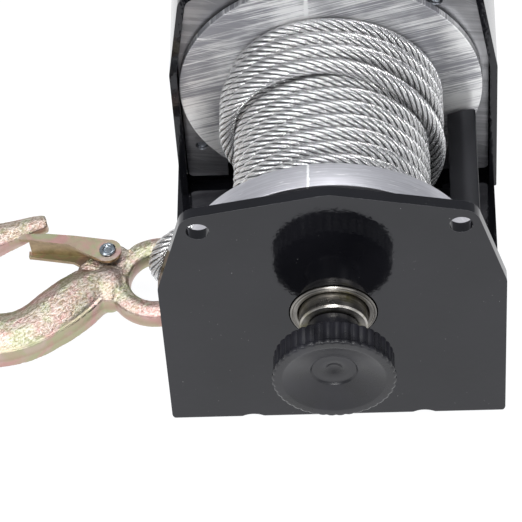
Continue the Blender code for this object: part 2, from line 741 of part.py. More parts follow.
def make_rope(parts):
    """Free stretch of rope from the drum, its swaged sleeve and its eye loop."""
    route = [(x, FRONT_Y + y, z) for x, y, z in ROPE_ROUTE]
    wire("rope_free_end", smooth_path(route, 6.5), ROPE_R, "galvanised_rope", parts, 3)
    loop = [along_loop(s, z) for s, z in LOOP_SIDE]
    wire("rope_eye_loop", smooth_path(loop, 4.0), 2.9, "galvanised_rope", parts, 3)
    pts = []
    for k in range(28):
        ang = 2 * math.pi * k / 28
        w = 4.6 * math.cos(ang)
        h = 3.6 * math.copysign(1, math.sin(ang)) + 4.0 * math.sin(ang)
        pts.append((w, h))
    bm = bmesh.new()
    for s in (36.2, 57.0):
        for w, h in pts:
            bm.verts.new(Vector(along_loop(s, 11.6 + h * 0.96, w)) * MM)
    bm.verts.ensure_lookup_table()
    n = len(pts)
    for k in range(n):
        j = (k + 1) % n
        bm.faces.new([bm.verts[k], bm.verts[j], bm.verts[n + j], bm.verts[n + k]])
    bm.faces.new(bm.verts[:n])
    bm.faces.new(bm.verts[n:])
    mesh_from("rope_ferrule", bm, "aluminium", parts)


HOOK_LINE = [
    (-79.6, 52.6, 6.5),
    (-82.0, 52.6, 8.8),
    (-85.6, 51.4, 10.2),
    (-90.2, 48.9, 10.5),
    (-96.3, 43.9, 9.8),
    (-104.0, 37.4, 9.6),
    (-113.0, 31.4, 9.8),
    (-124.0, 29.4, 10.2),
    (-135.5, 32.0, 10.4),
    (-144.5, 39.5, 10.2),
    (-148.6, 50.5, 9.8),
    (-147.0, 62.5, 9.3),
    (-139.5, 71.5, 8.9),
    (-129.0, 75.9, 8.7),
    (-119.5, 79.1, 7.2),
    (-113.0, 81.7, 5.8),
    (-109.8, 82.6, 4.8),
    (-108.2, 83.0, 3.6),
]


def tilt():
    """Lifts the hook's eye while its bowl stays on the ground."""
    pivot = Vector((TILT_X, 0, 0)) * MM
    lift = Matrix.Translation(Vector((0, FRONT_Y, TILT_Z)) * MM)
    spin = Matrix.Rotation(-math.radians(TILT_DEG), 4, "Y")
    return lift @ Matrix.Translation(pivot) @ spin @ Matrix.Translation(-pivot)


def finish_hook_piece(ob, origin_xy):
    """Bakes a piece drawn flat, tilts it and puts its origin on its axis."""
    ob = bake(ob)
    flat = Matrix.Translation(ob.location)
    ob.data.transform(tilt() @ flat)
    ob.location = (0, 0, 0)
    point = tilt() @ (Vector((origin_xy[0], origin_xy[1], 0)) * MM)
    set_origin(ob, point / MM)
    return ob


def make_hook(parts, cutters):
    line = [Vector((x, y, 0.0)) for x, y, w in HOOK_LINE]
    widths = smooth_path([(i * 10.0, w, 0.0) for i, (x, y, w) in enumerate(HOOK_LINE)], 2.5)
    dense = smooth_path(line, 4.2)
    rr = []
    for k in range(len(dense)):
        j = round(k * (len(widths) - 1) / (len(dense) - 1))
        rr.append(widths[j][1] / 10.0)
    body = wire("hook_body", dense, 10.0, "yellow_zinc", parts, 3, rr)
    for v in body.data.vertices:
        v.co.z *= 0.8
    prof = []
    for k in range(12):
        ang = 2 * math.pi * k / 12
        prof.append((EYE_R + 4.3 * math.cos(ang), -4.4 * math.sin(ang)))
    ring = turned("hook_ring", prof, (EYE[0], EYE[1], 0), None, cutters, 32, "Z", True)
    as_cutter(ring)
    boolean(body, ring, "UNION")
    lug = [(-97.0, 50.0), (-80.0, 50.0), (-76.4, 61.0), (-76.2, 65.2), (-79.2, 68.2), (-83.6, 69.2),
           (-87.8, 67.6), (-91.0, 63.4), (-94.8, 59.6)]
    lug = rounded(lug, [0, 0, 2, 2, 3, 4, 4, 4, 2], 3)
    lug = as_cutter(prism("hook_lug", lug, "Z", -5.0, 3.0, None, cutters))
    boolean(body, lug, "UNION")
    pts = [(-106.0, 56.4), (-97.0, 56.6), (-90.0, 55.2), (-83.0, 53.4), (-79.0, 54.4), (-77.0, 57.0),
           (-74.5, 66.0), (-74.5, 82.0), (-98.0, 82.0), (-106.0, 66.0)]
    for i, (lo, hi) in enumerate(((2.3, 12.0), (-12.0, -4.3))):
        boolean(body, as_cutter(prism(f"latch_flat_{i}", pts, "Z", lo, hi, None, cutters)))
    cut = rod("rivet_hole", 2.9, -12, 12, (RIVET[0], RIVET[1], 0), None, cutters, 18, "Z")
    boolean(body, as_cutter(cut))
    finish_hook_piece(body, EYE)
    make_latch(parts, cutters)


def make_latch(parts, cutters):
    """Folded keeper: two side leaves on the rivet, joined along the far edge."""
    pts = [(-117.4, 72.6), (-117.2, 71.6), (-112.4, 70.6), (-98.4, 67.3), (-90.0, 61.4)]
    for k in range(13):
        ang = math.radians(-135.0 + 225.0 * k / 12)
        pts.append((RIVET[0] + 5.1 * math.cos(ang), RIVET[1] + 5.1 * math.sin(ang)))
    pts += [(-96.1, 71.3), (-106.5, 73.2), (-115.4, 73.9)]
    latch = prism("hook_latch", pts, "Z", -6.0, 6.0, "zinc_plate", parts)
    inner = [(-125.0, 50.0), (-70.0, 50.0), (-70.0, 85.0), (-91.0, 85.0), (-91.0, 68.9), (-96.4, 69.9),
             (-106.7, 71.8), (-114.0, 72.4), (-114.0, 85.0), (-125.0, 85.0)]
    cut = as_cutter(prism("latch_channel", inner, "Z", -4.6, 4.6, None, cutters))
    boolean(latch, cut)
    short = [(-125.0, 60.0), (-115.2, 60.0), (-115.2, 85.0), (-125.0, 85.0)]
    boolean(latch, as_cutter(prism("latch_short", short, "Z", -8.0, -3.0, None, cutters)))
    hole = rod("latch_hole", 2.9, -12, 12, (RIVET[0], RIVET[1], 0), None, cutters, 18, "Z")
    boolean(latch, as_cutter(hole))
    finish_hook_piece(latch, RIVET)
    prof = [(0, 6.4), (1.3, 6.4), (1.9, 7.1), (2.5, 7.1), (3.1, 6.7), (3.1, 6.3), (2.6, 6.3),
            (2.6, -6.3), (3.1, -6.3), (3.1, -6.9), (2.2, -7.3), (0, -7.3)]
    rivet = turned("latch_rivet", prof, (RIVET[0], RIVET[1], 0), "zinc_plate", parts, 20, "Z")
    finish_hook_piece(rivet, RIVET)
    pts = []
    for k in range(19):
        ang = -0.4 + 2 * math.pi * 1.35 * k / 18
        pts.append((RIVET[0] + 3.9 * math.cos(ang), RIVET[1] + 3.9 * math.sin(ang), 2.9 + 1.1 * k / 18))
    end = pts[-1]
    pts.append((end[0] - 6.0, end[1] + 0.6, 3.9))
    pts.append((end[0] - 13.0, end[1] + 1.4, 3.9))
    spring = wire("latch_spring", pts, 0.4, "zinc_plate", parts, 1)
    finish_hook_piece(spring, RIVET)


def main():
    clear_scene()
    parts = collection("boat_trailer_winch")
    cutters = collection("cutters")
    make_frame(parts, cutters)
    make_bushes(parts)
    make_gear_plate(parts, cutters)
    make_housing(parts, cutters)
    make_housing_hardware(parts)
    make_guard(parts, cutters)
    make_drum(parts, cutters)
    make_gears(parts, cutters)
    make_clutch(parts, cutters)
    make_motor(parts, cutters)
    make_rope(parts)
    make_hook(parts, cutters)
    for ob in parts.objects:
        shade(ob)


main()
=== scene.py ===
"""Looks of the electric boat trailer winch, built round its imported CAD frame.

Lengths are millimetres in the frame's own axes, X across, Y from the clutch
knob to the motor and Z up, and become metres only in the last step of each
piece.  Y values named "behind" are counted from the front plate's face.
"""
import json
import math

import bmesh
import bpy
import numpy as np
from mathutils import Matrix, Vector

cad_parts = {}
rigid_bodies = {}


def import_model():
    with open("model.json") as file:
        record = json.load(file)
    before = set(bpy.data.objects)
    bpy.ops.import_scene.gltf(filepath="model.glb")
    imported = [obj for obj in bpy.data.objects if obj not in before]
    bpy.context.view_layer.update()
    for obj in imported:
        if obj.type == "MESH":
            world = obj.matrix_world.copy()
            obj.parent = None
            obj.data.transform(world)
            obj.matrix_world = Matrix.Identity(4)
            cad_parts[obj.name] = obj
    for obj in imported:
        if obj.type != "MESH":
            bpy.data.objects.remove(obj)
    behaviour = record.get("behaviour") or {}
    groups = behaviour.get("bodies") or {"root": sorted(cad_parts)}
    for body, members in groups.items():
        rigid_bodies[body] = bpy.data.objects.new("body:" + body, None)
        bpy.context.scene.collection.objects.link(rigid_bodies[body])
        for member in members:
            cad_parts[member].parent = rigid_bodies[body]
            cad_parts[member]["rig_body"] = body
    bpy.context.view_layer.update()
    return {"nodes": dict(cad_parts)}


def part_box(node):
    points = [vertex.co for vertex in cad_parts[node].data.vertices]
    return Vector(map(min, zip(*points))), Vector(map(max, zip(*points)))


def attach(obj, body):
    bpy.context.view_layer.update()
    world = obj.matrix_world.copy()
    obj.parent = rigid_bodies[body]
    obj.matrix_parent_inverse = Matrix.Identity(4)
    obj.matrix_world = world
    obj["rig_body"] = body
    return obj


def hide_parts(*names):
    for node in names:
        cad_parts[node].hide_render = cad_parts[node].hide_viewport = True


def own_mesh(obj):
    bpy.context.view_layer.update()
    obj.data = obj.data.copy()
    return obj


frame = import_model()
NODES = frame["nodes"]
SCENE = bpy.context.scene
MM = 0.001


def corner(node, which, axis):
    """One coordinate of a CAD node's box, in millimetres."""
    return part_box(node)[which]["xyz".index(axis)] / MM


FRONT_Y = corner("folded_frame", 0, "y")
AXIS_Z = (corner("rear_flange", 0, "z") + corner("rear_flange", 1, "z")) / 2


# ---- camera, floor and light -------------------------------------------
VIEW_TURN = math.radians(3.79)
VIEW_UP = math.radians(51.54)
VIEW_ROLL = math.radians(-4.52)
VIEW_AT = Vector((-25.66, -55.0, 52.43))
VIEW_DISTANCE = 1169.57
VIEW_LENS = 227.6


def make_camera():
    back = Vector((
        math.sin(VIEW_TURN) * math.cos(VIEW_UP),
        -math.cos(VIEW_TURN) * math.cos(VIEW_UP),
        math.sin(VIEW_UP),
    ))
    level = Vector((math.cos(VIEW_TURN), math.sin(VIEW_TURN), 0.0))
    up = back.cross(level)
    right = level * math.cos(VIEW_ROLL) + up * math.sin(VIEW_ROLL)
    turn = Matrix((right, back.cross(right), back)).transposed().to_4x4()
    data = bpy.data.cameras.new("camera")
    data.sensor_width = 36.0
    data.lens = VIEW_LENS
    data.clip_end = 20.0
    camera = bpy.data.objects.new("camera", data)
    SCENE.collection.objects.link(camera)
    place = (VIEW_AT + back * VIEW_DISTANCE) * MM
    camera.matrix_world = Matrix.Translation(place) @ turn
    SCENE.camera = camera


def make_floor():
    """Wide white table that gives off its own even light, so it has no shadow."""
    half = 4.0
    mesh = bpy.data.meshes.new("floor")
    square = [(-half, -half, 0), (half, -half, 0), (half, half, 0), (-half, half, 0)]
    mesh.from_pydata(square, [], [(0, 1, 2, 3)])
    mat = bpy.data.materials.new("floor_white")
    mat.use_nodes = True
    shader = mat.node_tree.nodes["Principled BSDF"]
    shader.inputs["Base Color"].default_value = (0.1, 0.1, 0.1, 1)
    shader.inputs["Roughness"].default_value = 1.0
    shader.inputs["Specular IOR Level"].default_value = 0.0
    shader.inputs["Emission Color"].default_value = (0.985, 0.99, 1.0, 1)
    shader.inputs["Emission Strength"].default_value = 0.97
    mesh.materials.append(mat)
    floor = bpy.data.objects.new("floor", mesh)
    floor.location.z = -0.0002
    SCENE.collection.objects.link(floor)


def make_light(name, place, aim, size, power):
    data = bpy.data.lights.new(name, "AREA")
    data.shape = "RECTANGLE"
    data.size, data.size_y = size
    data.energy = power
    light = bpy.data.objects.new(name, data)
    SCENE.collection.objects.link(light)
    light.location = place
    light.rotation_mode = "QUATERNION"
    light.rotation_quaternion = (Vector(aim) - Vector(place)).to_track_quat("-Z", "Y")


def make_light_and_air():
    world = bpy.data.worlds.new("studio")
    SCENE.world = world
    world.use_nodes = True
    air = world.node_tree.nodes["Background"]
    air.inputs["Color"].default_value = (0.93, 0.96, 1.0, 1)
    air.inputs["Strength"].default_value = 0.46
    make_light("key", (-0.9, -0.2, 1.6), (0, 0, 0.05), (0.9, 0.9), 17)
    make_light("fill", (1.3, -1.0, 1.2), (0, 0, 0.05), (1.2, 0.8), 9)
    make_light("back", (0.2, 0.6, 2.1), (0, 0, 0.05), (1.3, 0.4), 15)
    make_light("front", (-0.05, -1.35, 1.1), (0, -0.05, 0.05), (0.5, 0.2), 9)
    SCENE.view_settings.view_transform = "Standard"
    SCENE.view_settings.look = "None"


# ---- materials ---------------------------------------------------------
class Look:
    """One procedural material.  Its textures are sized in millimetres."""

    def __init__(self, name, metallic=0.0, **sockets):
        self.mat = bpy.data.materials.new(name)
        self.mat.use_nodes = True
        self.tree = self.mat.node_tree
        self.shader = self.tree.nodes["Principled BSDF"]
        self.shader.inputs["Metallic"].default_value = metallic
        for socket, value in sockets.items():
            self.shader.inputs[socket.replace("_", " ")].default_value = value
        where = self.node("ShaderNodeTexCoord").outputs["Object"]
        grow = self.node("ShaderNodeVectorMath", operation="SCALE")
        self.feed(grow.inputs[0], where)
        grow.inputs["Scale"].default_value = 1 / MM
        self.place = grow.outputs[0]
        self.normal = None

    def node(self, kind, **settings):
        made = self.tree.nodes.new(kind)
        for key, value in settings.items():
            setattr(made, key, value)
        return made

    def feed(self, socket, value):
        if isinstance(value, bpy.types.NodeSocket):
            self.tree.links.new(value, socket)
        elif isinstance(value, tuple) and len(value) == 3 and socket.type == "RGBA":
            socket.default_value = (*value, 1.0)
        else:
            socket.default_value = value

    def noise(self, size, detail=2.0, rough=0.5, stretch=(1, 1, 1), turn=(0, 0, 0), warp=0.0):
        """Cloudy pattern whose spots are about size across, drawn out by stretch."""
        place = self.node("ShaderNodeMapping", vector_type="TEXTURE")
        self.feed(place.inputs["Vector"], self.place)
        place.inputs["Rotation"].default_value = [math.radians(a) for a in turn]
        place.inputs["Scale"].default_value = [size * s for s in stretch]
        cloud = self.node("ShaderNodeTexNoise")
        self.feed(cloud.inputs["Vector"], place.outputs[0])
        cloud.inputs["Scale"].default_value = 1.0
        cloud.inputs["Detail"].default_value = detail
        cloud.inputs["Roughness"].default_value = rough
        cloud.inputs["Distortion"].default_value = warp
        return cloud.outputs[0]

    def spread(self, value, low, high, to_low=0.0, to_high=1.0):
        """Maps low..high onto to_low..to_high and holds the ends."""
        made = self.node("ShaderNodeMapRange")
        self.feed(made.inputs["Value"], value)
        for socket, number in zip(("From Min", "From Max", "To Min", "To Max"),
                                  (low, high, to_low, to_high)):
            made.inputs[socket].default_value = number
        return made.outputs[0]

    def blend(self, share, first, second):
        made = self.node("ShaderNodeMix", data_type="RGBA", blend_type="MIX")
        self.feed(made.inputs[0], share)
        self.feed(made.inputs[6], first)
        self.feed(made.inputs[7], second)
        return made.outputs[2]

    def mark(self, x, width):
        """Near one in a narrow strip at x millimetres across, with a ragged edge."""
        ragged = 1.2
        split = self.node("ShaderNodeSeparateXYZ")
        self.feed(split.inputs[0], self.place)
        moved = self.sum("MULTIPLY_ADD", self.noise(0.8, 2), ragged, split.outputs[0])
        away = self.sum("ABSOLUTE", self.sum("SUBTRACT", moved, x + ragged / 2), 0.0)
        return self.spread(away, width * 0.5, width, 0.9, 0.0)

    def sum(self, operation, first, second, third=0.0):
        made = self.node("ShaderNodeMath", operation=operation)
        self.feed(made.inputs[0], first)
        self.feed(made.inputs[1], second)
        self.feed(made.inputs[2], third)
        return made.outputs[0]

    def value(self, name):
        """A number that the mesh stores at each point."""
        return self.node("ShaderNodeAttribute", attribute_name=name).outputs["Fac"]

    def bump(self, height, depth):
        """Raises the surface by height times depth, over any earlier bump."""
        made = self.node("ShaderNodeBump")
        made.inputs["Strength"].default_value = 1.0
        made.inputs["Distance"].default_value = depth * MM
        self.feed(made.inputs["Height"], height)
        if self.normal:
            self.feed(made.inputs["Normal"], self.normal)
        self.normal = made.outputs[0]

    def finish(self, colour, rough):
        self.feed(self.shader.inputs["Base Color"], colour)
        self.feed(self.shader.inputs["Roughness"], rough)
        if self.normal:
            self.feed(self.shader.inputs["Normal"], self.normal)
        return self.mat


def black_paint(name, level, rough):
    """Black paint with the fine waviness of a sprayed coat and a little dust."""
    look = Look(name, IOR=1.5, Specular_IOR_Level=level, Specular_Tint=(0.93, 0.94, 1.0, 1.0))
    patches = look.noise(26, 3)
    colour = look.blend(look.spread(patches, 0.3, 0.7), (0.0035, 0.0036, 0.0048), (0.007, 0.007, 0.009))
    dust = look.spread(look.noise(0.9, 1), 0.8, 0.83)
    colour = look.blend(dust, colour, (0.16, 0.16, 0.16))
    look.bump(look.noise(3.0, 1.5), 0.02)
    look.bump(look.noise(1.3, 1.0), 0.016)
    return look.finish(colour, look.spread(patches, 0.3, 0.7, *rough))


def edge_highlight_and_wear():
    """The same paint on a folded or cut edge, thin and chipped in places, on a base colour far lighter
    than the face paint that works as a painted highlight along the edges.
    """
    look = Look("edge_highlight_and_wear", IOR=1.5)
    wear_and_highlight = look.noise(1.8, 4, 0.65)
    # Painted highlight: the edge tone is far lighter than the face paint, so the bevels show as bright
    # lines; the pale chips are real chipping.
    colour = look.blend(look.spread(wear_and_highlight, 0.35, 0.6), (0.05, 0.05, 0.056), (0.15, 0.15, 0.16))
    chips = look.spread(look.sum("MULTIPLY", look.noise(1.1, 3, 0.6), look.noise(9, 1)), 0.41, 0.44)
    colour = look.blend(chips, colour, (0.5, 0.49, 0.47))
    look.bump(wear_and_highlight, 0.04)
    return look.finish(colour, look.spread(wear_and_highlight, 0.3, 0.7, 0.2, 0.34))


def scratched_steel(name, dark, light, turn, size, contrast, shine=1.0, weld=None):
    """Bare sheet steel, sanded in one main direction with a few cross scratches.

    A weld number puts a bright upright mark that far across.
    """
    look = Look(name, metallic=shine)
    fine = look.noise(size, 4, 0.7, (60, 40, 1), turn)
    broad = look.noise(size * 5, 3, 0.6, (22, 10, 1), turn)
    cross = look.noise(size * 0.8, 2, 0.6, (45, 30, 1), (turn[0], turn[1] + 24, turn[2]))
    streaks = look.sum("MULTIPLY_ADD", fine, contrast, look.sum("MULTIPLY", broad, 1 - contrast))
    cloud = look.noise(24, 3)
    streaks = look.sum("MULTIPLY_ADD", look.spread(cloud, 0.35, 0.65, -0.1, 0.1), 1.0, streaks)
    colour = look.blend(look.spread(streaks, 0.42, 0.58), dark, light)
    colour = look.blend(look.spread(cross, 0.62, 0.68, 0.0, 0.7), colour, light)
    if weld is not None:
        colour = look.blend(look.mark(weld, 1.1), colour, light)
    look.bump(fine, 0.03)
    look.bump(cross, 0.012)
    return look.finish(colour, look.spread(streaks, 0.35, 0.65, 0.46, 0.3))


def rim_steel():
    """Turned edge of a thick flange, with one scribed line and a few bright rubs."""
    look = Look("flange_rim_steel", metallic=0.75)
    rings = look.noise(0.45, 3, 0.6, (40, 1, 40))
    rubs = look.noise(0.7, 3, 0.65, (16, 1, 16))
    cloud = look.noise(20, 3, 0.6)
    colour = look.blend(look.spread(rings, 0.35, 0.65), (0.46, 0.46, 0.49), (0.6, 0.6, 0.64))
    colour = look.blend(look.spread(cloud, 0.35, 0.65, 0.0, 0.5), colour, (0.4, 0.39, 0.43))
    colour = look.blend(look.spread(rubs, 0.62, 0.7, 0.0, 0.8), colour, (0.92, 0.92, 0.93))
    colour = look.blend(look.mark(-6.8, 0.5), colour, (1.0, 1.0, 1.0))
    look.bump(rings, 0.012)
    look.bump(look.noise(0.35, 2), 0.006)
    return look.finish(colour, look.spread(cloud, 0.3, 0.7, 0.36, 0.48))


def turned_steel(name, dark, light, rough, stain=None):
    """Machined steel with fine rings round the Y axis and old grease."""
    look = Look(name, metallic=1.0)
    rings = look.noise(0.5, 3, 0.6, (40, 1, 40))
    cloud = look.noise(7, 4, 0.6)
    colour = look.blend(look.spread(rings, 0.35, 0.65), dark, light)
    if stain:
        colour = look.blend(look.spread(cloud, 0.5, 0.68, 0.0, 0.8), colour, stain)
    look.bump(rings, 0.012)
    look.bump(look.noise(0.35, 2), 0.006)
    return look.finish(colour, look.spread(cloud, 0.3, 0.7, rough - 0.07, rough + 0.1))


def rope_wire():
    """Galvanised strands: round wires side by side, with painted shade in the valleys between strands and
    between wires.
    """
    look = Look("galvanised_wire", metallic=1.0)
    uv = look.node("ShaderNodeUVMap", uv_map="strand").outputs[0]
    split = look.node("ShaderNodeSeparateXYZ")
    look.feed(split.inputs[0], uv)
    turn = look.sum("MULTIPLY", split.outputs[1], WIRE_TWIST)
    across = look.sum("MULTIPLY_ADD", split.outputs[0], WIRES, turn)
    wire = look.sum("PINGPONG", across, 0.5)
    round_wire = look.sum("POWER", look.sum("MULTIPLY", wire, 2.0), 0.45)
    cloud = look.noise(5, 3, 0.6)
    colour = look.blend(look.spread(cloud, 0.3, 0.7), (0.92, 0.92, 0.93), (1.0, 1.0, 1.0))
    # Painted shade: each wire darkens towards the gaps beside it.
    colour = look.blend(look.spread(round_wire, 0.3, 0.78, 0.92, 0.0), colour, (0.06, 0.06, 0.065))
    # Painted shade: points far inside the rope, in the grooves between strands, are darkened almost to
    # black.
    groove_shade = look.spread(look.value("outward"), 0.76, 0.93, 1.0, 0.0)
    colour = look.blend(groove_shade, colour, (0.03, 0.03, 0.03))
    look.bump(round_wire, 0.2)
    look.bump(look.noise(0.3, 2), 0.01)
    return look.finish(colour, look.spread(cloud, 0.3, 0.7, 0.19, 0.28))


def yellow_zinc(name, rough_cast):
    """Yellow chromate on zinc, with its pink and green sheen. On a rough casting the flanks get painted
    shade, the crown painted highlights on raised grain and painted shade in its pits.
    """
    look = Look(name, metallic=1.0)
    sheen = look.noise(11, 3, 0.55, warp=1.2)
    tint = look.noise(9, 2, 0.5, (1.0, 1.4, 1.0), (0, 0, 30), warp=0.8)
    colour = look.blend(look.spread(sheen, 0.38, 0.6), (0.58, 0.35, 0.32), (0.44, 0.45, 0.28))
    colour = look.blend(look.spread(tint, 0.5, 0.66, 0.0, 0.7), colour, (0.6, 0.46, 0.43))
    pits = look.noise(0.85, 3, 0.65, (1.4, 1.0, 1.0), (0, 0, 35))
    if rough_cast:
        crown = look.spread(look.value("crown"), 0.35, 0.85)
        # Painted shade: faces that stand sideways to the hook's plane get a darker colour.
        flank = look.spread(look.value("crown"), 0.1, 0.5, 0.5, 0.0)
        colour = look.blend(flank, colour, (0.42, 0.28, 0.22))
        pit = look.sum("MULTIPLY", pits, crown)
        # Painted highlight: raised grain on the up- and down-facing crown is lightened.
        spots = look.sum("MULTIPLY", look.spread(pits, 0.46, 0.6), crown)
        colour = look.blend(look.sum("MULTIPLY", spots, 0.55), colour, (0.9, 0.84, 0.79))
        # Painted shade: pits on the crown are darkened.
        holes = look.sum("MULTIPLY", look.spread(pits, 0.45, 0.38), crown)
        colour = look.blend(look.sum("MULTIPLY", holes, 0.6), colour, (0.28, 0.21, 0.14))
        look.bump(pit, 0.44)
    look.bump(look.noise(4.5, 3), 0.07)
    look.bump(look.noise(0.4, 2), 0.008)
    return look.finish(colour, look.spread(pits, 0.3, 0.7, 0.3, 0.46))


def plain_metal(name, colour, rough, speck=0.4):
    """Small plated hardware with fine grain and handling marks."""
    look = Look(name, metallic=1.0)
    grain = look.noise(speck, 3, 0.6)
    cloud = look.noise(3.5, 3, 0.6)
    dark = tuple(c * 0.62 for c in colour)
    mixed = look.blend(look.spread(cloud, 0.35, 0.65), dark, colour)
    look.bump(grain, 0.01)
    return look.finish(mixed, look.spread(cloud, 0.3, 0.7, rough - 0.06, rough + 0.1))


def moulded_plastic():
    """Black moulded plastic with a faint grain and scuffs."""
    look = Look("black_plastic_grain", IOR=1.5)
    cloud = look.noise(9, 3)
    colour = look.blend(look.spread(cloud, 0.3, 0.7), (0.008, 0.008, 0.01), (0.014, 0.014, 0.019))
    scuff = look.spread(look.noise(1.2, 4, 0.7, (3, 1, 1), (20, 0, 40)), 0.69, 0.74, 0.0, 0.35)
    colour = look.blend(scuff, colour, (0.1, 0.1, 0.11))
    look.bump(look.noise(0.3, 2), 0.008)
    look.bump(look.noise(5, 2), 0.03)
    return look.finish(colour, look.spread(cloud, 0.3, 0.7, 0.24, 0.36))


def magnet_grey():
    """Dull sintered ferrite."""
    look = Look("ferrite", IOR=1.6)
    grain = look.noise(0.5, 4, 0.7)
    colour = look.blend(look.spread(grain, 0.3, 0.7), (0.03, 0.03, 0.033), (0.07, 0.07, 0.075))
    look.bump(grain, 0.03)
    return look.finish(colour, look.spread(grain, 0.3, 0.7, 0.5, 0.7))


# ---- making pieces -----------------------------------------------------
def add_piece(name, mesh, looks, body, stands_for=(), sharp=35):
    """Links a mesh already in place, smooths it and hands it to the frame."""
    for look in looks:
        mesh.materials.append(look)
    mesh.shade_smooth()
    mesh.set_sharp_from_angle(angle=math.radians(sharp))
    piece = bpy.data.objects.new(name, mesh)
    SCENE.collection.objects.link(piece)
    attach(piece, body)
    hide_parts(*stands_for)
    return piece


def clean_copy(node):
    """A CAD node's mesh with its split points joined and its flat faces whole."""
    bm = bmesh.new()
    bm.from_mesh(NODES[node].data)
    bmesh.ops.remove_doubles(bm, verts=bm.verts, dist=1e-6)
    bmesh.ops.dissolve_limit(
        bm, angle_limit=math.radians(0.6), verts=bm.verts, edges=bm.edges
    )
    return bm


ANY_RADIUS = 1000.0


def round_off(bm, centre, along, cuts, widest):
    """Cuts each ring edge about an axis into shorter ones lying on its circle."""
    along = Vector(along)
    centre = Vector(centre) * MM

    def polar(point):
        height = (point - centre).dot(along)
        return (point - centre - along * height).length, height

    rings = []
    edges = []
    for edge in bm.edges:
        (r0, h0), (r1, h1) = (polar(v.co) for v in edge.verts)
        if abs(r0 - r1) < 2e-5 and abs(h0 - h1) < 2e-5 and 3e-4 < r0 < widest * MM:
            edges.append(edge)
            rings.append((r0, h0))
    rings = sorted(set((round(r, 5), round(h, 5)) for r, h in rings))
    old = set(bm.verts)
    bmesh.ops.subdivide_edges(bm, edges=edges, cuts=cuts, use_grid_fill=False)
    for vert in bm.verts:
        if vert in old:
            continue
        r, h = polar(vert.co)
        near = [ring for ring in rings if abs(ring[1] - h) < 5e-5 and ring[0] > r - 2e-5]
        if near:
            out = vert.co - centre - along * h
            vert.co = centre + along * h + out * (near[0][0] / r)


def to_mesh(bm, name):
    mesh = bpy.data.meshes.new(name)
    bmesh.ops.recalc_face_normals(bm, faces=bm.faces)
    bm.to_mesh(mesh)
    bm.free()
    return mesh


def bevel(piece, width, edge_look):
    """Softens the piece's edges; with edge_look they take its second material."""
    mod = piece.modifiers.new("edges", "BEVEL")
    mod.width = width * MM
    mod.segments = 2
    mod.limit_method = "ANGLE"
    mod.angle_limit = math.radians(32)
    mod.harden_normals = True
    mod.use_clamp_overlap = True
    if edge_look:
        mod.material = 1
    return piece


def softened(node, width, looks, rounds=(), cuts=2):
    """A CAD node again, with finer circles and bevelled edges."""
    bm = clean_copy(node)
    for centre, along, widest in rounds:
        round_off(bm, centre, along, cuts, widest)
    mesh = to_mesh(bm, node + "_look")
    body = NODES[node]["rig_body"]
    piece = add_piece(node + "_look", mesh, looks, body, [node])
    return bevel(piece, width, len(looks) > 1)


def middle(node):
    low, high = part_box(node)
    return (low + high) / 2 / MM


def round_piece(node, width, look, along=(0, 1, 0)):
    """Softens a CAD node that is turned about its own middle line."""
    return softened(node, width, [look], [(middle(node), along, ANY_RADIUS)], 3)


def lathe(name, profile, spokes, looks, body, stands_for, ribs=None):
    """Spins (radius, behind) points about the drum axis into a closed body.

    ribs(radius, behind, angle) may change a point's radius on the way round.
    """
    count = len(profile)
    points = []
    for k in range(spokes):
        angle = 2 * math.pi * k / spokes
        for radius, behind in profile:
            r = ribs(radius, behind, angle) if ribs else radius
            points.append((r * math.cos(angle), FRONT_Y + behind, AXIS_Z + r * math.sin(angle)))
    faces = []
    for k in range(spokes):
        here = k * count
        there = (k + 1) % spokes * count
        for i in range(count):
            j = (i + 1) % count
            faces.append((here + i, here + j, there + j, there + i))
    bm = bmesh.new()
    verts = [bm.verts.new(Vector(p) * MM) for p in points]
    for face in faces:
        bm.faces.new([verts[i] for i in face])
    bmesh.ops.remove_doubles(bm, verts=bm.verts, dist=1e-6)
    return add_piece(name, to_mesh(bm, name), looks, body, stands_for)


def arc_corner(before, at, after, radius, steps=4):
    """Points that round one corner of a profile."""
    b = Vector(at)
    u = (Vector(before) - b).normalized()
    v = (Vector(after) - b).normalized()
    reach = radius / math.tan(u.angle(v) / 2)
    start = b + u * reach
    end = b + v * reach
    out = []
    for k in range(steps + 1):
        t = k / steps
        out.append(tuple(start * (1 - t) ** 2 + b * (2 * t * (1 - t)) + end * t ** 2))
    return out


def rounded_profile(points, radius, steps):
    """Rounds every corner of a closed profile."""
    out = []
    for i, at in enumerate(points):
        out += arc_corner(points[i - 1], at, points[(i + 1) % len(points)], radius, steps)
    return out


# ---- wire rope ---------------------------------------------------------
ROPE_R = 3.0
STRANDS = 8
STRAND_R = 0.84
STRAND_OUT = 2.16      # strand centres from the rope's centre
CORE_R = 1.3
LAY = 29.5             # one turn of a strand
WIRES = 9              # outer wires shown round one strand
WIRE_TWIST = -WIRES * (1 / 18.0 + 1 / LAY)
WRAP = 6.15            # from one turn on the drum to the next
LAYER_R = (22.6, 27.5, 32.4, 37.9)
WRAPS_FRONT = 27.4     # first and last turn, behind the plate's face
WRAPS_REAR = 99.8
RISEN_AT = 75.4        # the last turn, where it has reached the fourth layer
TOP_TURN = 80.9        # the last turn, where it passes over the top
CLIMB = 0.35           # turns that the rope takes to climb onto the next layer

ROPE_ROUTE = [
    (27.4, 71.5, 33.2),
    (22.0, 71.3, 27.9),
    (16.4, 70.9, 22.6),
    (10.4, 70.3, 18.3),
    (4.4, 69.5, 15.1),
    (-1.6, 68.7, 13.0),
    (-6.2, 68.0, 12.0),
    (-9.6, 67.5, 11.6),
]
LEAVES = ROPE_ROUTE[0]


